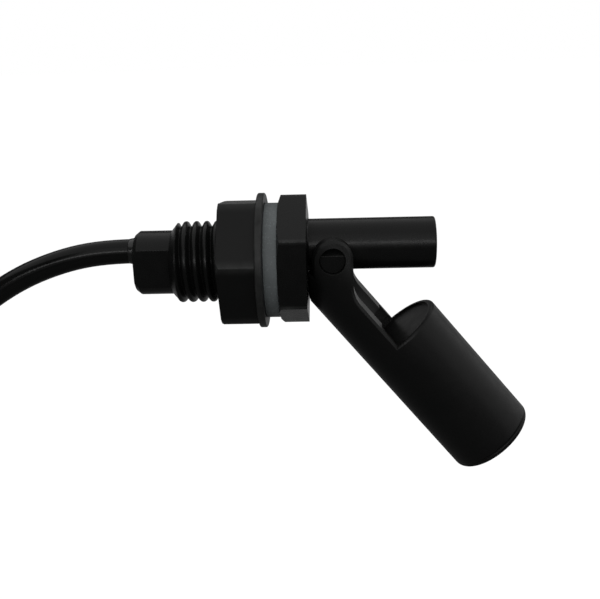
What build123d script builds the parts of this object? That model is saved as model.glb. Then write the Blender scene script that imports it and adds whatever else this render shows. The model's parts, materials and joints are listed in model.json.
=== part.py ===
from build123d import *
from math import acos, cos, degrees, hypot, radians, sin, sqrt, tan
import os

# A side-mounted float level switch, all in millimetres.
# The origin is on the thread's axis, in the head's sealing face.
# +X runs along the thread into the tank, +Z is up, and -Y faces the viewer.
# The float is built raised, with its hinge at the origin, and lowered onto its stop at the end.

# Threaded body: boss, shank and hexagon head
thread_d = 15.8
shank_length = 20.75
lead_in_drop = 1.6
lead_in_length = 1.3
boss_d = 12.4
boss_across_flats = 10.0
boss_length = 7.1
boss_chamfer = 0.6
boss_chamfer_length = 0.8
head_across_flats = 22.3
head_length = 5.4
head_edge_r = 0.35
head_chamfer = 1.4
head_chamfer_length = 0.55
body_bore_d = 7.6
body_bore_above_thread = 1.4
body_bore_floor = 1.9

# Closed stem that holds the reed contact
stem_d = 9.86
stem_above_thread = 3.02
stem_reach = 29.8
stem_edge_r = 0.4
stem_root_r = 0.5
stem_bore_d = 6.6
stem_end_wall = 1.5

# Hinge of the float
hinge_x = 10.19
hinge_above_thread = 1.79
trunnion_d = 4.75
trunnion_recess = 0.9
hinge_gap = 0.08
shoulder_d = 7.0
shoulder_gap = 0.08
ramp_start = 0.85
ramp_depth = 1.4

# Float and its arm
float_d = 17.74
float_below_hinge = 0.865
float_start = 20.7
float_end = 51.56
float_wall = 1.2
float_drop = 50.56
arm_top_below_axis = 0.63
arm_stop_gap = 0.1
stop_below_hinge = 3.0
arm_wall = 1.6
arm_edge_cut = 0.5
arm_overlap = 0.5
ear_r = 3.85
ear_root_r = 6.0
slot_gap = 0.45
saddle_end = 16.4
near_rim = 1.0
near_recess = 0.4
near_edge_r = 0.6

# End cap of the float
cap_thickness = 1.3
cap_edge_r = 1.1
cap_spigot_length = 2.2
cap_spigot_wall = 1.1
cap_fit = 0.05

# Magnet in the arm
magnet_d = 3.8
magnet_length = 7.0
magnet_below_hinge = 6.9
magnet_fit = 0.05
plug_thickness = 2.4

# Mounting nut with its moulded washer
nut_across_flats = 22.8
nut_edge_r = 0.5
nut_hex_length = 7.1
nut_chamfer = 0.6
nut_corner_up = 9.1
flange_d = 26.1
flange_thickness = 1.4
flange_edge_r = 0.3
thread_gap = 0.2

# Gasket
gasket_d = 22.2
gasket_thickness = 2.6
gasket_edge_r = 0.1

# Cable
cable_d = 4.8
cable_above_thread = 2.35
jacket_inside = 13.5
core_d = 1.2
core_apart = 2.0
potting_depth = 12.0
potting_lip = 1.4
potting_lip_d = 5.4
potting_fit = 0.02

# Reed contact and its wiring
glass_d = 2.3
glass_length = 14.0
glass_wall = 0.3
glass_seal = 1.8
glass_start = 11.5
lead_d = 0.56
blade_thickness = 0.2
blade_width = 1.1
blade_overlap = 1.0
blade_gap = 0.16
lead_turn_start = 0.8
cushion_wall = 0.3
cushion_inset = 1.2
joint_start = 4.0
joint_length = 5.0
joint_wall = 0.3
insulation_d = 0.9

# Put-away coil of the cable, its tie and its free end
cable_route = [
    (-27.85, 0.0, 2.35),
    (-34.5, 0.0, 2.35),
    (-43.5, 0.0, 0.6),
    (-53.0, 0.0, -3.2),
    (-62.5, 0.0, -9.6),
    (-70.8, 0.0, -19.0),
    (-76.3, 0.0, -31.0),
    (-78.4, 0.0, -44.5),
    (-78.4, 0.0, -58.0),
]
outer_turn_r = 29.0
coil_layers = 2
coil_rows = 3
coil_corner_r = 1.6
tail_length = 36.0
tie_width = 4.0
tie_thickness = 1.2
tie_angle = 40.0
bare_core_length = 18.0
tip_length = 6.0
tip_d = 0.8
core_splay = 1.6

# Places that follow from the sizes
boss_face = -shank_length - boss_length
stem_r = stem_d / 2
stem_axis_z = stem_above_thread
slot_half = stem_r + slot_gap
float_r = float_d / 2
float_axis_z = -float_below_hinge
arm_top_z = float_axis_z - arm_top_below_axis
stop_reach = hinge_x - head_length - arm_stop_gap
reed_y = -core_apart / 2
wire_z = cable_above_thread
glass_end = glass_start + glass_length

parts = {}


def along_x(radius, start, end, y=0.0, z=0.0):
    """A round bar along X from start to end."""
    bar = Cylinder(radius, end - start, rotation=(0, 90, 0))
    return Pos((start + end) / 2, y, z) * bar


def hexagon_bar(across_flats, start, end, turn, edge_r):
    """A hexagon bar along X; turn is the angle of one corner above the -Y side."""
    outline = RegularPolygon(across_flats / 2, 6, major_radius=False)
    if edge_r > 0:
        outline = fillet(outline.vertices(), edge_r)
    bar = extrude(outline, end - start)
    return Pos(start, 0, 0) * Rot(-turn, 0, 0) * Rot(0, 90, 0) * Rot(0, 0, 90) * bar


def cone_trim(face_r, slope, start, end):
    """A solid of revolution that opens from face_r at start, for turned chamfers."""
    wide = face_r + slope * abs(end - start)
    side = Polyline((start, 0), (start, face_r), (end, wide), (end, 0), close=True)
    return revolve(make_face(side), Axis.X)


def pipe_along(path, radius):
    """A round wire along a path."""
    section = Plane(origin=path @ 0, z_dir=path % 0) * Circle(radius)
    return sweep(section, path=path)


# Threaded body
boss = along_x(boss_d / 2, boss_face, -shank_length)
boss_slope = boss_chamfer / boss_chamfer_length
boss &= cone_trim(boss_d / 2 - boss_chamfer, boss_slope, boss_face, -shank_length)
boss &= Pos(boss_face + boss_length / 2, 0, 0) * Box(boss_length, boss_across_flats, boss_d)
head = hexagon_bar(head_across_flats, 0, head_length, 30, head_edge_r)
head_corner = head_across_flats / sqrt(3)
head &= cone_trim(head_corner - head_chamfer, head_chamfer / head_chamfer_length, 0, head_length)
shank = along_x(thread_d / 2, -shank_length, 0)
lead_in_slope = lead_in_drop / lead_in_length
shank &= cone_trim(thread_d / 2 - lead_in_drop, lead_in_slope, -shank_length, 0)
stem = along_x(stem_r, head_length, stem_reach, z=stem_axis_z)
stem = fillet(stem.edges().sort_by(Axis.X)[-1], stem_edge_r)
body = boss + shank + head + stem
root = [e for e in body.edges().filter_by(GeomType.CIRCLE) if abs(e.radius - stem_r) < 0.01]
body = fillet([e for e in root if abs(e.center().X - head_length) < 0.01], stem_root_r)

# Trunnions: a shoulder that centres the arm, and a pin with a ramp that the cheek snaps over
cheek_outside = sqrt(float_r**2 - float_below_hinge**2)
trunnion_reach = cheek_outside - trunnion_recess
shoulder_reach = slot_half - shoulder_gap
pin = Cylinder(trunnion_d / 2, trunnion_reach, align=(Align.CENTER, Align.CENTER, Align.MIN))
ramp = Polyline(
    (ramp_start, trunnion_reach),
    (trunnion_d / 2, trunnion_reach - ramp_depth),
    (trunnion_d / 2, trunnion_reach + 1),
    (ramp_start, trunnion_reach + 1),
    close=True,
)
pin -= extrude(Plane.XZ * make_face(ramp), trunnion_d, both=True)
pin += Cylinder(shoulder_d / 2, shoulder_reach, align=(Align.CENTER, Align.CENTER, Align.MIN))
hinge_place = Pos(hinge_x, 0, hinge_above_thread)
near_pin = hinge_place * Rot(90, 0, 0) * Rot(0, 0, 90) * pin
body += near_pin + mirror(near_pin, Plane.XZ)

# Hollow inside: a wide bore for the cable and potting, a narrow one for the contact
body -= along_x(body_bore_d / 2, boss_face, body_bore_floor, z=body_bore_above_thread)
body -= along_x(stem_bore_d / 2, body_bore_floor - 1, stem_reach - stem_end_wall, z=stem_axis_z)
parts["switch_body"] = body

# Nut, with its hexagon and washer in one moulding
flange_start = -gasket_thickness - flange_thickness
nut_face = flange_start - nut_hex_length
nut = hexagon_bar(nut_across_flats, nut_face, flange_start, nut_corner_up, nut_edge_r)
nut_corner = nut_across_flats / sqrt(3)
nut &= cone_trim(nut_corner - nut_chamfer, 1.0, nut_face, flange_start)
flange = along_x(flange_d / 2, flange_start, -gasket_thickness)
flange = fillet(flange.edges(), flange_edge_r)
nut += flange
nut -= along_x(thread_d / 2 + thread_gap, nut_face, -gasket_thickness)
parts["mounting_nut"] = nut

# Gasket
gasket = along_x(gasket_d / 2, -gasket_thickness, 0)
gasket = fillet(gasket.edges(), gasket_edge_r)
gasket -= along_x(thread_d / 2 + thread_gap, -gasket_thickness, 0)
parts["gasket"] = gasket

# Float, raised: the side profile cuts a round bar into the closed float, its arm and two ears
lobe = (sin(radians(float_drop)), -cos(radians(float_drop)))
across = (cos(radians(float_drop)), sin(radians(float_drop)))
far_left = -float_d
stop_top = (
    stop_below_hinge * lobe[0] - stop_reach * across[0],
    stop_below_hinge * lobe[1] - stop_reach * across[1],
)
stop_bottom = (-stop_reach + float_d * across[1]) / across[0]
arm_end = float_start + near_edge_r + arm_overlap
arm_side = Polyline(
    stop_top,
    (arm_top_z * lobe[0] / lobe[1], arm_top_z),
    (arm_end, arm_top_z),
    (arm_end, -float_d),
    (stop_bottom, -float_d),
    close=True,
)
lobe_length = float_below_hinge + float_r
lobe_foot = (lobe[0] * lobe_length, lobe[1] * lobe_length)
ear_side = Polyline(
    (across[0] * ear_r, across[1] * ear_r),
    (lobe_foot[0] + across[0] * ear_r, lobe_foot[1] + across[1] * ear_r),
    (lobe_foot[0] - across[0] * ear_r, lobe_foot[1] - across[1] * ear_r),
    (-across[0] * ear_r, -across[1] * ear_r),
    close=True,
)
side = make_face(arm_side) + make_face(ear_side) + Circle(ear_r)
corner_x = (ear_r - arm_top_z * across[1]) / across[0]
ear_corner = side.vertices().sort_by_distance((corner_x, arm_top_z, 0))[0]
side = fillet(ear_corner, ear_root_r)
arm = extrude(Plane.XZ * side, float_r, both=True)
arm &= along_x(float_r, far_left, arm_end, z=float_axis_z)
outer_edges = [e for e in arm.edges() if abs((e @ 0.5).Y) > 1]
arm = chamfer(outer_edges, arm_edge_cut)
shell_end = float_end - cap_thickness
barrel = along_x(float_r, float_start, shell_end, z=float_axis_z)
barrel = fillet(barrel.edges().sort_by(Axis.X)[0], near_edge_r)
shell = arm + barrel

# Slot for the stem: a saddle that the raised stem lies in, and room to turn about the hinge
saddle_z = stem_axis_z - hinge_above_thread
saddle = along_x(slot_half, far_left, saddle_end, z=saddle_z)
slot_height = 3 * stem_d
slot_box = Box(saddle_end - far_left, 2 * slot_half, slot_height)
saddle += Pos((far_left + saddle_end) / 2, 0, saddle_z + slot_height / 2) * slot_box
stem_corner = hypot(hinge_x - head_length, hinge_above_thread - stem_axis_z + stem_r)
turning = Cylinder(stem_corner + slot_gap, 2 * slot_half, rotation=(90, 0, 0))
shell -= saddle + turning

# Trough between the saddle and the closed float, then the hollow of the float
pocket_r = float_r - arm_wall
pocket = along_x(pocket_r, saddle_end, float_start, z=float_axis_z)
shell -= pocket
recess_bar = along_x(float_r - near_rim, float_start - 1, float_start + near_recess, z=float_axis_z)
shell -= recess_bar
hollow_start = float_start + near_recess + float_wall
shell -= along_x(float_r - float_wall, hollow_start, shell_end, z=float_axis_z)
shell -= Cylinder(trunnion_d / 2 + hinge_gap, 2 * float_d, rotation=(90, 0, 0))

# Magnet, pushed into the arm from the trough and sealed with a plug
magnet_z = -magnet_below_hinge
magnet_start = saddle_end - plug_thickness - magnet_length
bore_r = magnet_d / 2 + magnet_fit
shell -= along_x(bore_r, magnet_start, saddle_end, z=magnet_z)
magnet = along_x(magnet_d / 2, magnet_start, saddle_end - plug_thickness, z=magnet_z)
plug = along_x(bore_r, saddle_end - plug_thickness, saddle_end, z=magnet_z)

# End cap, with a spigot inside the float
cap = along_x(float_r, shell_end, float_end, z=float_axis_z)
cap = fillet(cap.edges().sort_by(Axis.X)[-1], cap_edge_r)
spigot_r = float_r - float_wall - cap_fit
cap += along_x(spigot_r, shell_end - cap_spigot_length, shell_end, z=float_axis_z)
spigot_hole_r = spigot_r - cap_spigot_wall
cap -= along_x(spigot_hole_r, shell_end - cap_spigot_length, shell_end, z=float_axis_z)

# Everything that swings is lowered from the raised place onto the stop
lowered = hinge_place * Rot(0, float_drop, 0)
parts["float_shell"] = lowered * shell
parts["float_cap"] = lowered * cap
parts["magnet"] = lowered * magnet
parts["magnet_plug"] = lowered * plug

# Cable end in the body: jacket, potting with its lip, and two cores
jacket_end = boss_face + jacket_inside
parts["jacket_end"] = along_x(cable_d / 2, boss_face, jacket_end, z=wire_z)
potting_r = body_bore_d / 2 - potting_fit
potting = along_x(potting_r, boss_face, boss_face + potting_depth, z=body_bore_above_thread)
lip_side = Polyline(
    (boss_face, 0),
    (boss_face, potting_lip_d / 2),
    (boss_face - potting_lip, cable_d / 2 + potting_fit),
    (boss_face - potting_lip, 0),
    close=True,
)
potting += Pos(0, 0, wire_z) * revolve(make_face(lip_side), Axis.X)
hole_start = boss_face - potting_lip
potting -= along_x(cable_d / 2, hole_start, boss_face + potting_depth, z=wire_z)
parts["potting"] = potting

# Reed contact: glass, two blades with their leads, a cushion and the sleeved return lead
glass = along_x(glass_d / 2, glass_start, glass_end, reed_y, wire_z)
glass = fillet(glass.edges(), glass_wall)
inner_start = glass_start + glass_seal
inner_end = glass_end - glass_seal
glass -= along_x(glass_d / 2 - glass_wall, inner_start, inner_end, reed_y, wire_z)
glass -= along_x(lead_d / 2, glass_start, glass_end, reed_y, wire_z)
parts["reed_glass"] = glass

middle = (glass_start + glass_end) / 2
joint_middle = joint_start + joint_length / 2
near_tip = middle + blade_overlap / 2
far_tip = middle - blade_overlap / 2
blade_z = blade_gap / 2 + blade_thickness / 2
near_blade_box = Box(near_tip - inner_start, blade_width, blade_thickness)
near_blade = Pos((near_tip + inner_start) / 2, reed_y, wire_z + blade_z) * near_blade_box
near_blade += along_x(lead_d / 2, joint_middle, inner_start + 0.5, reed_y, wire_z)
parts["reed_blade_near"] = near_blade

far_blade_box = Box(inner_end - far_tip, blade_width, blade_thickness)
far_blade = Pos((inner_end + far_tip) / 2, reed_y, wire_z - blade_z) * far_blade_box
turn_x = glass_end + lead_turn_start
turn_r = core_apart / 2
out = Line((inner_end - 0.5, reed_y, wire_z), (turn_x, reed_y, wire_z))
bend = ThreePointArc((turn_x, reed_y, wire_z), (turn_x + turn_r, 0, wire_z), (turn_x, -reed_y, wire_z))
back = Line((turn_x, -reed_y, wire_z), (joint_middle, -reed_y, wire_z))
far_blade += pipe_along(Wire([out, bend, back]), lead_d / 2)
parts["reed_blade_far"] = far_blade

cushion_start = glass_start + cushion_inset
cushion_end = glass_end - cushion_inset
cushion = along_x(glass_d / 2 + cushion_wall, cushion_start, cushion_end, reed_y, wire_z)
cushion -= along_x(glass_d / 2, cushion_start, cushion_end, reed_y, wire_z)
parts["reed_cushion"] = cushion

joint_end = joint_start + joint_length
insulation = along_x(insulation_d / 2, joint_end, turn_x, -reed_y, wire_z)
insulation -= along_x(lead_d / 2, joint_end, turn_x, -reed_y, wire_z)
parts["lead_insulation"] = insulation

# Cores run from the jacket to the joints, each joint under its own shrink sleeve
for side_name, y in [("near", reed_y), ("far", -reed_y)]:
    parts[f"core_{side_name}"] = along_x(core_d / 2, jacket_end, joint_middle, y, wire_z)
    sleeve = along_x(core_d / 2 + joint_wall, joint_start, joint_end, y, wire_z)
    sleeve -= along_x(core_d / 2, joint_start, joint_middle, y, wire_z)
    sleeve -= along_x(lead_d / 2, joint_middle, joint_end, y, wire_z)
    parts[f"joint_sleeve_{side_name}"] = sleeve

# Free cable: straight runs joined by arcs as large as the runs allow
points = [Vector(*p) for p in cable_route]
runs = [b - a for a, b in zip(points, points[1:])]
radii = []
for before, after in zip(runs, runs[1:]):
    turn = radians(before.get_angle(after))
    radii.append(0.45 * min(before.length, after.length) / tan(turn / 2))
route = FilletPolyline(points, radius=radii)
tube = pipe_along(route, cable_d / 2)
print("cable radii", [round(r, 1) for r in radii])
section_area = 3.14159 * (cable_d / 2) ** 2
volume_ratio = tube.volume / (section_area * route.length)
print("tube length", round(route.length, 1), "volume ratio", round(volume_ratio, 4))

# The coil is one closed ring with the outer shape of its turns
entry = points[-1]
coil_x = entry.X - outer_turn_r
coil_place = Pos(coil_x, entry.Y, entry.Z)
ring_outer = outer_turn_r + cable_d / 2
ring_inner = ring_outer - coil_layers * cable_d
ring_half = coil_rows * cable_d / 2
ring_middle = (ring_outer + ring_inner) / 2


def ring_section(grow, corner_r):
    """The section of the turns beside the coil's axis, larger by grow all round."""
    width = ring_outer - ring_inner + 2 * grow
    height = 2 * ring_half + 2 * grow
    return Pos(ring_middle, 0) * RectangleRounded(width, height, corner_r)


ring = revolve(ring_section(0, coil_corner_r), Axis.Y)
ring = coil_place * ring
parts["cable_coil"] = ring
parts["cable_run"] = tube - ring

# The tie goes round the bundle, and the cable's free end hangs below the coil
tie_span = degrees(tie_width / ring_middle)
tie_side = ring_section(tie_thickness, coil_corner_r + tie_thickness) - ring_section(0, coil_corner_r)
tie = revolve(Rot(0, tie_angle, 0) * tie_side, Axis.Y, tie_span)
parts["coil_tie"] = coil_place * tie

tail_y = ring_half - cable_d / 2
tail_end = entry.Z - tail_length
tail_bar = Cylinder(cable_d / 2, tail_length)
tail = Pos(entry.X, tail_y, (entry.Z + tail_end) / 2) * tail_bar
parts["cable_tail"] = tail - ring

# Stripped cores at the free end, bent apart, with tinned tips
bend_drop = bare_core_length / 2
for name, sign in [("brown", -1), ("blue", 1)]:
    start = (entry.X, tail_y + sign * core_apart / 2, tail_end)
    middle_y = tail_y + sign * (core_apart / 2 + core_splay)
    end = (entry.X, middle_y, tail_end - bare_core_length)
    knee = (entry.X, middle_y, tail_end - bend_drop)
    easing = (entry.X, tail_y + sign * core_apart / 2, tail_end - bend_drop / 2)
    core_path = FilletPolyline(start, easing, knee, end, radius=4.0)
    parts[f"tail_core_{name}"] = pipe_along(core_path, core_d / 2)
    tip_top = tail_end - bare_core_length
    tip = Cylinder(tip_d / 2, tip_length)
    parts[f"tinned_tip_{name}"] = Pos(entry.X, middle_y, tip_top - tip_length / 2) * tip

os.makedirs("parts", exist_ok=True)
for name, solid in parts.items():
    export_step(solid, f"parts/{name}.step")
    print(name, len(solid.solids()), round(solid.volume, 1))
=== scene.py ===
# %% [markdown]
# # A float level switch, dressed in Blender
# The switch screws into the side of a tank. A hexagon head and a nut clamp it to the wall, a closed
# stem holds a reed contact, and a float with a magnet swings on two small pins under the stem.
# The CAD part is the frame of everything here: it loads first, and nothing in it is moved.
# All sizes below are in metres, because that is Blender's unit.

# %% The CAD frame
import bmesh
import bpy
import json
from math import cos, pi, radians, sin, sqrt
from mathutils import Matrix, Vector


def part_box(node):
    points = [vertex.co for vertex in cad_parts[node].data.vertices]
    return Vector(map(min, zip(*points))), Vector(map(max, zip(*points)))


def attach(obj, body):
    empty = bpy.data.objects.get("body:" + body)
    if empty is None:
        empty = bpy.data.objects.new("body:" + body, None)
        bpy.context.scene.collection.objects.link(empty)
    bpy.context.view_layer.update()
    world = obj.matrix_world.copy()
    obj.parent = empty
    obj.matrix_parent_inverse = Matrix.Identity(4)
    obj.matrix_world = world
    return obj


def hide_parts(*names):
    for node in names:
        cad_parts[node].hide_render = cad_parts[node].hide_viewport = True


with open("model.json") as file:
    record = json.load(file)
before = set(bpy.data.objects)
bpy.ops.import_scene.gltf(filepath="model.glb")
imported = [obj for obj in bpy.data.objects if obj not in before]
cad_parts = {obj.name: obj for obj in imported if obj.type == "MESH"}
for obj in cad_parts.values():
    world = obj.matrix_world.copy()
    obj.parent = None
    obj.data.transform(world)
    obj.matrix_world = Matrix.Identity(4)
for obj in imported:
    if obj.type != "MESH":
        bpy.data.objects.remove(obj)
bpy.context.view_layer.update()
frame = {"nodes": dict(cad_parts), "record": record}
nodes = frame["nodes"]
mm = 0.001

# %% [markdown]
# The camera stands in front of the switch and a little above it. It is placed by the point it looks
# at, its distance and three angles, because a photographer thinks of a viewpoint that way, and
# because each of those numbers can be changed without touching the others.

# %% Camera
camera_target = Vector((3.603, 0.0, -8.179)) * mm
camera_distance = 175.37 * mm
camera_azimuth = radians(2.487)
camera_elevation = radians(18.003)
camera_roll = radians(-1.801)
camera_lens = 53.33
camera_near_clip = 0.01

camera_data = bpy.data.cameras.new("camera")
camera_data.sensor_fit = "HORIZONTAL"
camera_data.lens = camera_lens
camera_data.clip_start = camera_near_clip
camera = bpy.data.objects.new("camera", camera_data)
facing = Matrix.Rotation(camera_azimuth, 4, "Z") @ Matrix.Rotation(pi / 2 - camera_elevation, 4, "X")
backward = facing @ Vector((0, 0, 1))
standing = Matrix.Translation(camera_target + camera_distance * backward)
camera.matrix_world = standing @ facing @ Matrix.Rotation(camera_roll, 4, "Z")
bpy.context.scene.collection.objects.link(camera)
bpy.context.scene.camera = camera
bpy.context.scene.view_settings.view_transform = "Standard"
print("camera at", [round(v / mm, 1) for v in camera.location])

# %% [markdown]
# The cable is one soft line from the boss to its stripped end. It droops under its own weight, and
# the length that nobody needs yet is wound into a small coil. A NURBS curve suits it, because its
# control points only pull at the line and so no bend can kink.
# Each turn of the coil lies in a cell of a bundle, two layers by three rows. Going round once, a turn
# steps over into the next cell, and the step comes earlier in each later turn, so that the cell is
# already free and no turn lies inside another.
# A curve's box reaches as far as the radius of its points, so the points carry the cable's radius and
# the bevel's own depth stays 1.

# %% Cable
cable_d = 4.8 * mm
cable_route = [
    (-0.02785, 0.0, 0.00235),
    (-0.0345, 0.0, 0.00235),
    (-0.0435, 0.0, 0.0006),
    (-0.053, 0.0, -0.0032),
    (-0.0625, 0.0, -0.0096),
    (-0.0708, 0.0, -0.019),
    (-0.0763, 0.0, -0.031),
    (-0.0784, 0.0, -0.0445),
    (-0.0784, 0.0, -0.058),
]
outer_turn_r = 29.0 * mm
inner_turn_r = outer_turn_r - cable_d
cells = [
    (outer_turn_r, 0.0),
    (outer_turn_r, -cable_d),
    (inner_turn_r, -cable_d),
    (inner_turn_r, 0.0),
    (inner_turn_r, cable_d),
    (outer_turn_r, cable_d),
]
points_per_turn = 24
first_step_at = radians(40)
step_width = radians(46)
step_spacing = radians(50)
tail_length = 36.0 * mm
tail_points = 4
steps_between_points = 6
jacket_roundness = 7
line_order = 3


def smooth(value):
    """Eases from 0 to 1 as value goes from 0 to 1."""
    value = min(max(value, 0.0), 1.0)
    return value * value * (3 - 2 * value)


def coil_points(entry):
    """Control points of the turns, from the entry at the coil's right side."""
    centre = Vector((entry.x - outer_turn_r, entry.y, entry.z))
    turns = len(cells) - 1
    swell = 1 / cos(pi / points_per_turn)
    found = []
    for turn in range(turns):
        step_at = first_step_at + (turns - 1 - turn) * step_spacing
        for index in range(1, points_per_turn + 1):
            angle = 2 * pi * index / points_per_turn
            share = smooth((angle - step_at) / step_width)
            radius = cells[turn][0] * (1 - share) + cells[turn + 1][0] * share
            row = cells[turn][1] * (1 - share) + cells[turn + 1][1] * share
            reach = radius * swell
            found.append(centre + Vector((reach * cos(angle), row, -reach * sin(angle))))
    return found


route = [Vector(point) for point in cable_route]
turns_line = coil_points(route[-1])
tail_top = Vector((route[-1].x, cells[-1][1], route[-1].z))
turns_line[-1] = tail_top
tail_step = Vector((0, 0, tail_length / tail_points))
tail_line = [tail_top - tail_step * count for count in range(1, tail_points + 1)]
cable_line = route + turns_line + tail_line

cable_data = bpy.data.curves.new("cable", "CURVE")
cable_data.dimensions = "3D"
cable_data.resolution_u = steps_between_points
cable_data.bevel_depth = 1.0
cable_data.bevel_resolution = jacket_roundness
cable_data.use_fill_caps = True
spline = cable_data.splines.new("NURBS")
spline.points.add(len(cable_line) - 1)
for point, place in zip(spline.points, cable_line):
    point.co = (*place, 1.0)
    point.radius = cable_d / 2
spline.order_u = line_order
spline.use_endpoint_u = True
cable = bpy.data.objects.new("cable", cable_data)
bpy.context.scene.collection.objects.link(cable)
cable_length = spline.calc_length()
print("cable length", round(cable_length, 4))

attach(cable, "body")
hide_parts("cable_run", "cable_coil", "cable_tail")

# %% [markdown]
# The next class wraps one output of a node, so that shader maths reads as plain sums: writing
# `1 - mask` adds a Math node behind the scenes. The board is the node tree that the outputs belong
# to, and its `node` method adds any other node.

# %% Shader maths


class Wire:
    """An output of a node, with the sums that shader maths needs."""

    def __init__(self, board, socket):
        self.board = board
        self.socket = socket

    def __add__(self, other):
        return self.board.math("ADD", self, other)

    __radd__ = __add__

    def __sub__(self, other):
        return self.board.math("SUBTRACT", self, other)

    def __rsub__(self, other):
        return self.board.math("SUBTRACT", other, self)

    def __mul__(self, other):
        return self.board.math("MULTIPLY", self, other)

    __rmul__ = __mul__


class Board:
    """A node tree, emptied, with a short way to add its nodes."""

    def __init__(self, tree):
        self.tree = tree
        tree.nodes.clear()

    def node(self, kind, settings=None, inputs=None, output=0):
        """Adds a node: its settings first, then the values or links of its sockets."""
        made = self.tree.nodes.new(kind)
        for name, value in (settings or {}).items():
            setattr(made, name, value)
        for name, value in (inputs or {}).items():
            self.feed(made.inputs[name], value)
        return Wire(self, made.outputs[output]) if made.outputs else made

    def feed(self, socket, value):
        """Links a wire to a socket, or sets the socket's own value."""
        if isinstance(value, Wire):
            self.tree.links.new(value.socket, socket)
        else:
            socket.default_value = value

    def math(self, operation, first, second):
        """Adds a Math node on two values."""
        return self.node("ShaderNodeMath", {"operation": operation}, {0: first, 1: second})

    def ramp(self, value, low, high):
        """0 below low and 1 above high, with soft ends."""
        settings = {"interpolation_type": "SMOOTHSTEP"}
        return self.node(
            "ShaderNodeMapRange", settings, {"Value": value, "From Min": low, "From Max": high}
        )

    def mix(self, share, first, second):
        """Goes from the first colour to the second."""
        colours = {"Factor": share, 6: first, 7: second}
        return self.node("ShaderNodeMix", {"data_type": "RGBA"}, colours, output=2)

    def noise(self, place, scale, detail=2.0, roughness=0.5):
        """A cloudy value about 0.5 with lumps about 1 / scale metres across."""
        inputs = {"Vector": place, "Scale": scale, "Detail": detail, "Roughness": roughness}
        return self.node("ShaderNodeTexNoise", None, inputs)

    def stretched(self, place, factors):
        """The same place, with each axis multiplied by its own factor."""
        inputs = {0: place, 1: factors}
        return self.node("ShaderNodeVectorMath", {"operation": "MULTIPLY"}, inputs)


# %% [markdown]
# The studio's light is plain: wide and soft from above, with two softboxes and a narrow strip light.
# Black plastic shows little but what it mirrors, so the lamps' shapes matter more than their power:
# the softboxes draw the broad grey bands on stem and float, and the strip draws the thin line along
# the cable. One loop makes the lamps that differ only in place, size and power.

# %% Lamps
sun_strength = 1.5
sun_width = radians(100)
sun_from = Vector((-0.1, 0.15, 1.0))
lamp_distance = 0.5

# Each lamp's direction as seen from the switch, then its width, height and power
lamps = {
    "front_softbox": (Vector((0.03, -0.87, 0.50)), 0.60, 0.38, 0.75),
    "side_softbox": (Vector((0.96, 0.02, 0.42)), 0.84, 0.38, 0.95),
    "front_strip": (Vector((-0.10, -0.92, 0.30)), 0.70, 0.05, 0.55),
}


def aim(lamp, origin, direction, distance):
    """Places a lamp along direction from origin and turns it to face back."""
    lamp.location = origin + direction.normalized() * distance
    lamp.rotation_euler = direction.to_track_quat("Z", "Y").to_euler()


sun_data = bpy.data.lights.new("top_light", "SUN")
sun_data.energy = sun_strength
sun_data.angle = sun_width
sun = bpy.data.objects.new("top_light", sun_data)
bpy.context.scene.collection.objects.link(sun)
aim(sun, camera_target, sun_from, 1.0)

for lamp_name, (lamp_from, width, height, power) in lamps.items():
    lamp_data = bpy.data.lights.new(lamp_name, "AREA")
    lamp_data.shape = "RECTANGLE"
    lamp_data.size = width
    lamp_data.size_y = height
    lamp_data.energy = power
    lamp = bpy.data.objects.new(lamp_name, lamp_data)
    bpy.context.scene.collection.objects.link(lamp)
    aim(lamp, camera_target, lamp_from, lamp_distance)
print("top light and", len(lamps), "lamps")

# %% [markdown]
# Behind and below the switch everything is white. More light would only wash the switch out, so the
# white is what rays see and not what falls on the plastic: the camera sees all of it, and rays off a
# mirror or through glass see a share, low down in the room and on the floor behind the switch. In
# front of the switch the room stays dim. The floor is grey paper far below that adds a glow.

# %% White background
floor_z = -0.2
floor_half = 4.0
floor_grey = 0.14
floor_seen = 1.02
room_grey = 0.05
mirror_white = 0.4
white_ends_at_height = 0.25
glow_starts_behind = 0.06
glow_is_full_behind = 0.6
white = (1, 1, 1, 1)


def seen_white(board, mirror_share):
    """How white the paper looks: 1 to the camera, and a share to rays off a mirror or through glass."""
    path = board.node("ShaderNodeLightPath")
    outputs = path.socket.node.outputs
    camera_ray = Wire(board, outputs["Is Camera Ray"])
    glossy_ray = Wire(board, outputs["Is Glossy Ray"])
    glass_ray = Wire(board, outputs["Is Transmission Ray"])
    mirror_ray = (glossy_ray + glass_ray) * mirror_white
    return board.math("MINIMUM", camera_ray + mirror_ray * mirror_share, 1.0)


world = bpy.data.worlds.new("studio")
bpy.context.scene.world = world
world.use_nodes = True
room = Board(world.node_tree)
ray_direction = room.node("ShaderNodeTexCoord", output="Generated")
ray_height = room.node("ShaderNodeSeparateXYZ", None, {0: ray_direction}, output="Z")
low_down = 1 - room.ramp(ray_height, 0.0, white_ends_at_height)
room_light = seen_white(room, low_down) * (1 - room_grey) + room_grey
backdrop = room.node("ShaderNodeBackground", None, {"Strength": room_light, "Color": white})
room.node("ShaderNodeOutputWorld", None, {"Surface": backdrop})

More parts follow.
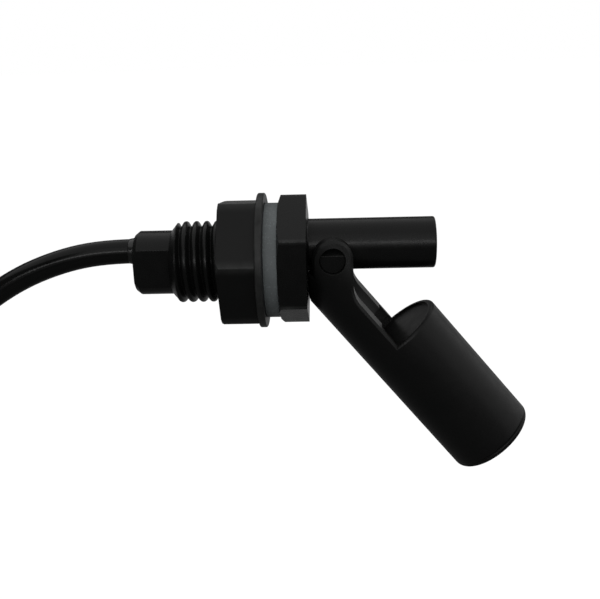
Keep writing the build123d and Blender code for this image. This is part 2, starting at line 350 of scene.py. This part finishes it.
floor_mesh = bmesh.new()
bmesh.ops.create_grid(floor_mesh, x_segments=1, y_segments=1, size=floor_half)
floor_data = bpy.data.meshes.new("floor")
floor_mesh.to_mesh(floor_data)
floor_mesh.free()
floor = bpy.data.objects.new("floor", floor_data)
floor.location.z = floor_z
bpy.context.scene.collection.objects.link(floor)
paper = bpy.data.materials.new("white_paper")
paper.use_nodes = True
sheet = Board(paper.node_tree)
lit_floor = floor_grey * (sun_strength / pi + room_grey)
sheet_place = sheet.node("ShaderNodeTexCoord", output="Object")
sheet_y = sheet.node("ShaderNodeSeparateXYZ", None, {0: sheet_place}, output="Y")
far_back = sheet.ramp(sheet_y, glow_starts_behind, glow_is_full_behind)
glow = seen_white(sheet, far_back) * (floor_seen - lit_floor)
matt = sheet.node("ShaderNodeBsdfDiffuse", None, {"Color": (floor_grey, floor_grey, floor_grey, 1)})
shine = sheet.node("ShaderNodeEmission", None, {"Color": white, "Strength": glow})
both = sheet.node("ShaderNodeAddShader", None, {0: matt, 1: shine})
sheet.node("ShaderNodeOutputMaterial", None, {"Surface": both})
floor_data.materials.append(paper)
print("floor light", round(lit_floor, 3))

# %% [markdown]
# Each finish below is a Principled shader. What stays the same all over a piece, such as how strongly
# it reflects, is set on the shader itself, and only colour, roughness and the surface's tilt vary.
# Every sharp edge of a moulding is really a tiny curve, so the tilt starts from a Bevel node, which
# lets light catch along the edges.

# %% Helpers for finishes
edge_curve = 0.16 * mm
edge_samples = 4
green_tint = 1.03
blue_tint = 1.01


def new_finish(name, fixed):
    """A material with a Principled shader; fixed gives the values of its own sockets."""
    material = bpy.data.materials.new(name)
    material.use_nodes = True
    board = Board(material.node_tree)
    shader = board.node("ShaderNodeBsdfPrincipled", None, fixed)
    board.node("ShaderNodeOutputMaterial", None, {"Surface": shader})
    return material, board, shader.socket.node.inputs


def place_on(board):
    """Where a point lies on its piece, in metres."""
    return board.node("ShaderNodeTexCoord", output="Object")


def bumps(board, height, depth, curve=edge_curve):
    """The surface's tilt from a height of 0 to 1 that stands for depth metres."""
    rounded = board.node("ShaderNodeBevel", {"samples": edge_samples}, {"Radius": curve})
    inputs = {"Height": height, "Distance": depth, "Normal": rounded}
    return board.node("ShaderNodeBump", None, inputs)


def grey(value):
    """A grey with the trace of green and blue that this plastic has."""
    return (value, value * green_tint, value * blue_tint, 1.0)


# %% [markdown]
# Black polypropylene is nearly matt. The mould leaves a fine grain, the plastic flows into slightly
# different blacks, and handling rubs corners a little lighter and adds faint scratches. The float's
# end cap is welded on, and the weld leaves a fine groove all round. All but the groove and the rubbed
# corners is noise, whose sizes below are numbers of lumps to a metre. Rubbing starts at a distance
# from the thread's axis, because corners are what lies furthest out.

# %% Moulded plastic
grain_depth = 0.006 * mm
groove_depth = 0.28 * mm
groove_half = 0.34 * mm
cap_lip = 1.3 * mm
flow_lumps = 130.0
patch_lumps = 420.0
scratch_lumps = 700.0
grain_lumps = 6500.0
scratch_stretch = (1.0, 14.0, 5.0)
scratch_edges = (0.66, 0.72)
flow_contrast = 1.2
black_spread = 0.18
scratch_share = 0.15
worn_times = 8.0
patch_dullness = 0.16
grain_dullness = 0.10
scratch_height = -0.6
joints = {joint["name"]: joint for joint in frame["record"]["behaviour"]["joints"]}
float_drop = radians(joints["float_hinge"]["range_deg"][1])
float_axis = Vector((cos(float_drop), 0.0, -sin(float_drop)))
cap_end = max(float_axis.dot(vertex.co) for vertex in nodes["float_cap"].data.vertices)


def moulded_plastic(name, black, roughness, rubbed=None, groove=None):
    """Black moulded plastic; rubbed and groove are functions from a board and place to a share."""
    material, board, inputs = new_finish(name, {"Specular IOR Level": 0.16, "IOR": 1.49})
    place = place_on(board)
    flow = board.noise(place, flow_lumps, detail=3.0)
    grain = board.noise(place, grain_lumps, detail=1.0)
    patches = board.noise(place, patch_lumps)
    stretched = board.stretched(place, scratch_stretch)
    lines = board.noise(stretched, scratch_lumps, detail=3.0, roughness=0.7)
    scratches = board.ramp(lines, *scratch_edges)
    lighter = (flow - 0.5) * flow_contrast + 0.5
    colour = board.mix(lighter, grey(black * (1 - black_spread)), grey(black * (1 + black_spread)))
    marks = scratches * scratch_share
    if rubbed:
        marks = board.math("MAXIMUM", marks, rubbed(board, place) * patches)
    colour = board.mix(marks, colour, grey(black * worn_times))
    dull = (patches - 0.5) * patch_dullness
    grainy = (grain - 0.5) * grain_dullness
    board.feed(inputs["Base Color"], colour)
    board.feed(inputs["Roughness"], roughness + dull + grainy)
    height = grain + scratches * scratch_height
    if groove:
        height = height + groove(board, place) * (-groove_depth / grain_depth)
    board.feed(inputs["Normal"], bumps(board, height, grain_depth))
    return material


def radius_from_thread(board, place):
    """Distance from the thread's axis, in metres."""
    across = board.stretched(place, (0.0, 1.0, 1.0))
    return board.node("ShaderNodeVectorMath", {"operation": "LENGTH"}, {0: across}, output="Value")


def corner_rub(inside, outside):
    """Rubbing that starts at one radius from the thread's axis and is full at another."""
    return lambda board, place: board.ramp(radius_from_thread(board, place), inside, outside)


def weld_groove(board, place):
    """1 at the bottom of the groove between the float and its end cap."""
    inputs = {0: place, 1: float_axis}
    along = board.node("ShaderNodeVectorMath", {"operation": "DOT_PRODUCT"}, inputs, output="Value")
    from_joint = board.math("ABSOLUTE", along - (cap_end - cap_lip), 0.0)
    return 1 - board.ramp(from_joint, 0.0, groove_half)


head_rub = corner_rub(inside=12.5 * mm, outside=12.8 * mm)
nut_rub = corner_rub(inside=12.3 * mm, outside=13.2 * mm)
body_plastic = moulded_plastic("body_plastic", black=0.0040, roughness=0.27, rubbed=head_rub)
nut_plastic = moulded_plastic("nut_plastic", black=0.0042, roughness=0.40, rubbed=nut_rub)
float_plastic = moulded_plastic("float_plastic", black=0.0040, roughness=0.38, groove=weld_groove)
print("float end cap's edge", round(cap_end / mm, 2), "mm along the float's axis")

# %% [markdown]
# The gasket is a grey rubber washer. Rubber of this kind is dull and carries fine specks of chalky
# dust, which stand out by a hair, so the same specks feed the colour and the bump.

# %% Rubber and silicone
rubber_lumps = 260.0
speck_lumps = 2600.0
speck_edges = (0.60, 0.68)
dust_share = 0.35
dust_times = 1.7
rubber_dullness = 0.15


def rubber(name, low, high, roughness, speck_height):
    """Dull rubber between two colours, with fine specks of dust."""
    material, board, inputs = new_finish(name, {"Specular IOR Level": 0.25})
    place = place_on(board)
    cloud = board.noise(place, rubber_lumps, detail=3.0)
    specks = board.ramp(board.noise(place, speck_lumps, detail=1.0), *speck_edges)
    colour = board.mix(cloud, low, high)
    dust = tuple(min(1.0, part * dust_times) for part in high[:3]) + (1.0,)
    board.feed(inputs["Base Color"], board.mix(specks * dust_share, colour, dust))
    board.feed(inputs["Roughness"], roughness + (cloud - 0.5) * rubber_dullness)
    board.feed(inputs["Normal"], bumps(board, specks, speck_height))
    return material


gasket_low = (0.082, 0.090, 0.092, 1)
gasket_high = (0.120, 0.132, 0.135, 1)
gasket_rubber = rubber(
    "gasket_rubber", gasket_low, gasket_high, roughness=0.60, speck_height=0.02 * mm
)
silicone_low = (0.62, 0.62, 0.60, 1)
silicone_high = (0.78, 0.78, 0.76, 1)
silicone = rubber("silicone", silicone_low, silicone_high, roughness=0.5, speck_height=0.004 * mm)
print("made", gasket_rubber.name, "and", silicone.name)

# %% [markdown]
# The cable's jacket is extruded: it is smoother than a moulding and has only a faint ripple. The wire
# insulation, the shrink sleeves, the tie and the resin use the same recipe in other colours.

# %% Sheaths
sheath_lumps = 180.0
ripple_lumps = 2200.0
sheath_dullness = 0.12
ripple_dullness = 0.08


def sheath(name, dark, light, roughness, gloss, ripple):
    """Smooth plastic between two colours; ripple is the height of its unevenness."""
    material, board, inputs = new_finish(name, {"Specular IOR Level": gloss, "IOR": 1.52})
    place = place_on(board)
    cloud = board.noise(place, sheath_lumps)
    fine = board.noise(place, ripple_lumps)
    dull = (cloud - 0.5) * sheath_dullness
    rippled = (fine - 0.5) * ripple_dullness
    board.feed(inputs["Base Color"], board.mix(cloud, dark, light))
    board.feed(inputs["Roughness"], roughness + dull + rippled)
    board.feed(inputs["Normal"], bumps(board, fine, ripple))
    return material


cable_jacket = sheath(
    "cable_jacket", grey(0.0036), grey(0.0050), roughness=0.16, gloss=0.13, ripple=0.006 * mm
)
shrink_sleeve = sheath(
    "shrink_sleeve", grey(0.012), grey(0.018), roughness=0.55, gloss=0.4, ripple=0.012 * mm
)
tie_nylon = sheath(
    "tie_nylon", grey(0.012), grey(0.017), roughness=0.40, gloss=0.4, ripple=0.006 * mm
)
potting_resin = sheath(
    "potting_resin", grey(0.007), grey(0.010), roughness=0.22, gloss=0.4, ripple=0.010 * mm
)

insulation = {"roughness": 0.35, "gloss": 0.5, "ripple": 0.004 * mm}
brown_dark = (0.11, 0.045, 0.020, 1)
brown_light = (0.15, 0.062, 0.028, 1)
blue_dark = (0.025, 0.075, 0.27, 1)
blue_light = (0.035, 0.10, 0.34, 1)
core_brown = sheath("core_brown", brown_dark, brown_light, **insulation)
core_blue = sheath("core_blue", blue_dark, blue_light, **insulation)
sheaths = [cable_jacket, shrink_sleeve, tie_nylon, potting_resin, core_brown, core_blue]
print("made", [finish.name for finish in sheaths])

# %% [markdown]
# Metal gets its colour from the reflection, so the shader's Metallic value is 1 and the base colour
# is bright. The magnet is sintered, so its surface is dark and speckled, and the rubber's recipe
# serves for it too. The contact's glass is a thin drawn tube: light goes through it, and its faint
# green comes from the base colour.

# %% Metals, magnet and glass
drawn_stretch = (0.06, 1.0, 1.0)
drawn_dullness = 0.2
drawn_depth = 0.004 * mm
drawn_edge = 0.05 * mm
glass_lumps = 500.0
glass_dullness = 0.04


def metal(name, dark, light, roughness, line_lumps):
    """Bare metal with fine lines along X, as drawn wire has."""
    material, board, inputs = new_finish(name, {"Metallic": 1.0})
    place = place_on(board)
    drawn = board.noise(board.stretched(place, drawn_stretch), line_lumps)
    board.feed(inputs["Base Color"], board.mix(drawn, dark, light))
    board.feed(inputs["Roughness"], roughness + (drawn - 0.5) * drawn_dullness)
    board.feed(inputs["Normal"], bumps(board, drawn, drawn_depth, drawn_edge))
    return material


def drawn_glass(name, low, high):
    """Clear glass, a little uneven, with a tint between two colours."""
    clear = {"Transmission Weight": 1.0, "IOR": 1.5, "Specular IOR Level": 0.5}
    material, board, inputs = new_finish(name, clear)
    cloud = board.noise(place_on(board), glass_lumps)
    board.feed(inputs["Base Color"], board.mix(cloud, low, high))
    board.feed(inputs["Roughness"], cloud * glass_dullness)
    return material


reed_dark = (0.52, 0.50, 0.46, 1)
reed_light = (0.66, 0.64, 0.60, 1)
reed_metal = metal("reed_metal", reed_dark, reed_light, roughness=0.28, line_lumps=6000.0)
tin_dark = (0.60, 0.60, 0.58, 1)
tin_light = (0.78, 0.78, 0.76, 1)
tinned_copper = metal("tinned_copper", tin_dark, tin_light, roughness=0.32, line_lumps=5000.0)
ferrite_dark = (0.085, 0.085, 0.09, 1)
ferrite_light = (0.13, 0.13, 0.135, 1)
magnet_ferrite = rubber("magnet", ferrite_dark, ferrite_light, roughness=0.55, speck_height=0.01 * mm)
reed_glass = drawn_glass("reed_glass", (0.80, 0.90, 0.84, 1), (0.90, 0.97, 0.92, 1))
print("made", [finish.name for finish in (reed_metal, tinned_copper, magnet_ferrite, reed_glass)])

# %% [markdown]
# Each CAD piece names its material in the record, so one loop dresses them all. The cable takes its
# jacket by itself, because it was drawn here.

# %% Finishes on the pieces
finishes = {
    "body_plastic": body_plastic,
    "nut_plastic": nut_plastic,
    "float_plastic": float_plastic,
    "gasket_rubber": gasket_rubber,
    "cable_jacket": cable_jacket,
    "potting_resin": potting_resin,
    "core_brown": core_brown,
    "core_blue": core_blue,
    "shrink_sleeve": shrink_sleeve,
    "silicone": silicone,
    "reed_glass": reed_glass,
    "reed_metal": reed_metal,
    "tinned_copper": tinned_copper,
    "tie_nylon": tie_nylon,
    "magnet": magnet_ferrite,
}
slots = {part["node"]: part["material_slot"] for part in frame["record"]["subparts"]}
for name, node in nodes.items():
    node.data.materials.clear()
    node.data.materials.append(finishes[slots[name]])
cable_data.materials.append(cable_jacket)
print("finished nodes", len(nodes))

# %% [markdown]
# The thread is what the eye expects first on such a switch. It is M16 with a pitch of 2 mm, and the
# moulding has rounded crests. The CAD solid has a plain bar there, so the body is copied without the
# bar's surface, and a grid of points takes its place.
# The flanks stand at 60 degrees to each other, so they fall by the root of 3 for each step sideways,
# and the crest's radius follows from the pitch, the depth and the root's radius.
# The grid's rows follow the helix instead of lying square to the axis, so each crest is one smooth
# line of points and never a staircase.

# %% Thread form
thread_pitch = 2.0 * mm
thread_r = 7.9 * mm
thread_depth = 1.06 * mm
thread_root_r = 0.1 * mm
crest_in_front = -13.52 * mm
shank_start = -20.75 * mm
lead_in_drop = 1.6 * mm
lead_in_length = 1.3 * mm
fade_start = -1.5 * mm
fade_end = -0.5 * mm
rows_per_pitch = 16
points_round = 120
flank = sqrt(3)
crest_r = flank * thread_pitch / 2 - thread_depth - thread_root_r
crest_half = crest_r * flank / 2
root_half = thread_root_r * flank / 2


def thread_drop(beside):
    """How far the surface lies under its crest, at a distance beside the crest's middle."""
    beside = abs(beside)
    from_root = thread_pitch / 2 - beside
    if beside < crest_half:
        return crest_r - sqrt(crest_r**2 - beside**2)
    if from_root < root_half:
        return thread_depth + sqrt(thread_root_r**2 - from_root**2) - thread_root_r
    return crest_r / 2 + (beside - crest_half) * flank


def beside_crest(x, angle):
    """Distance from the nearest crest, which moves towards the cable as the angle grows."""
    crest = crest_in_front - thread_pitch * angle / (2 * pi)
    return (x - crest + thread_pitch / 2) % thread_pitch - thread_pitch / 2


def outer_thread_r(x, angle):
    """The body's thread, with its lead-in at the start and its run-out under the gasket."""
    fade = smooth((x - fade_start) / (fade_end - fade_start))
    radius = thread_r - thread_drop(beside_crest(x, angle)) * (1 - fade)
    return min(radius, thread_r - lead_in_drop * (1 - (x - shank_start) / lead_in_length))


def add_thread(mesh, start, end, radius_at, outward):
    """Adds a thread's surface to a mesh, between two planes square to the axis."""
    step = thread_pitch / rows_per_pitch
    count = round((end - start) / step) + rows_per_pitch
    columns = []
    for column in range(points_round):
        angle = 2 * pi * column / points_round
        offset = thread_pitch * (1 - column / points_round)
        line = []
        for row in range(count + 1):
            x = min(max(start - thread_pitch + offset + row * step, start), end)
            radius = radius_at(x, angle)
            line.append(mesh.verts.new((x, -radius * cos(angle), radius * sin(angle))))
        columns.append(line)
    faces = []
    for column in range(points_round):
        left = columns[column]
        right = columns[(column + 1) % points_round]
        shift = rows_per_pitch if column + 1 == points_round else 0
        for row in range(shift, count):
            corners = [left[row], left[row + 1], right[row + 1 - shift], right[row - shift]]
            faces.append(mesh.faces.new(corners if outward else corners[::-1]))
    return faces


print("thread crest radius", round(crest_r / mm, 3))

# %% [markdown]
# The nut runs on the same helix. Its thread is the body's thread moved outwards by a little play and
# cut flat where a nut's core hole would be, so the two mesh at every turn of the nut.
# The CAD's mesh brings its own stored normals. They don't fit the new surface, so the copy drops them
# and is smooth up to an angle, and a Weighted Normal modifier lets each large face keep its own
# direction, so that the hexagon's sides look flat right up to their rounded edges.

# %% Threaded body and nut
nut_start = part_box("mounting_nut")[0].x
nut_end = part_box("mounting_nut")[1].x
thread_play = 0.2 * mm
nut_core_r = 7.2 * mm
nut_bore_r = thread_r + thread_play
surface_slack = 0.03 * mm
weld = 0.0005 * mm
sharp_angle = radians(34)
square_on = 0.99


def inner_thread_r(x, angle):
    """The nut's thread, opened out at both faces."""
    radius = max(thread_r - thread_drop(beside_crest(x, angle)) + thread_play, nut_core_r)
    from_face = min(x - nut_start, nut_end - x)
    return max(radius, nut_bore_r - from_face)


def threaded_copy(name, node, body, ends, radii, radius_at, outward):
    """A copy of a CAD node whose plain bar or bore, between two ends and radii, becomes a thread."""
    bar_start, bar_end = ends
    low_r, high_r = radii
    mesh = bmesh.new()
    mesh.from_mesh(nodes[node].data)

    def on_bar(vertex):
        radius = sqrt(vertex.co.y**2 + vertex.co.z**2)
        along = bar_start - surface_slack < vertex.co.x < bar_end + surface_slack
        return along and low_r - surface_slack < radius < high_r + surface_slack

    bar = [face for face in mesh.faces if all(on_bar(vertex) for vertex in face.verts)]
    round_faces = [face for face in bar if abs(face.normal.x) < square_on]
    bmesh.ops.delete(mesh, geom=round_faces, context="FACES")
    thread = add_thread(mesh, bar_start, bar_end, radius_at, outward)
    bmesh.ops.remove_doubles(mesh, verts=mesh.verts, dist=weld)
    data = bpy.data.meshes.new(name)
    mesh.to_mesh(data)
    mesh.free()
    if "custom_normal" in data.attributes:
        data.attributes.remove(data.attributes["custom_normal"])
    for face in data.polygons:
        face.use_smooth = True
    data.set_sharp_from_angle(angle=sharp_angle)
    data.materials.append(finishes[slots[node]])
    piece = bpy.data.objects.new(name, data)
    bpy.context.scene.collection.objects.link(piece)
    flatten = piece.modifiers.new("flat_faces_stay_flat", "WEIGHTED_NORMAL")
    flatten.keep_sharp = True
    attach(piece, body)
    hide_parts(node)
    print(name, "round faces", len(round_faces), "thread faces", len(thread))


threaded_copy(
    "threaded_body",
    "switch_body",
    "body",
    ends=(shank_start, 0.0),
    radii=(thread_r - lead_in_drop, thread_r),
    radius_at=outer_thread_r,
    outward=True,
)
threaded_copy(
    "threaded_nut",
    "mounting_nut",
    "nut",
    ends=(nut_start, nut_end),
    radii=(nut_bore_r, nut_bore_r),
    radius_at=inner_thread_r,
    outward=False,
)
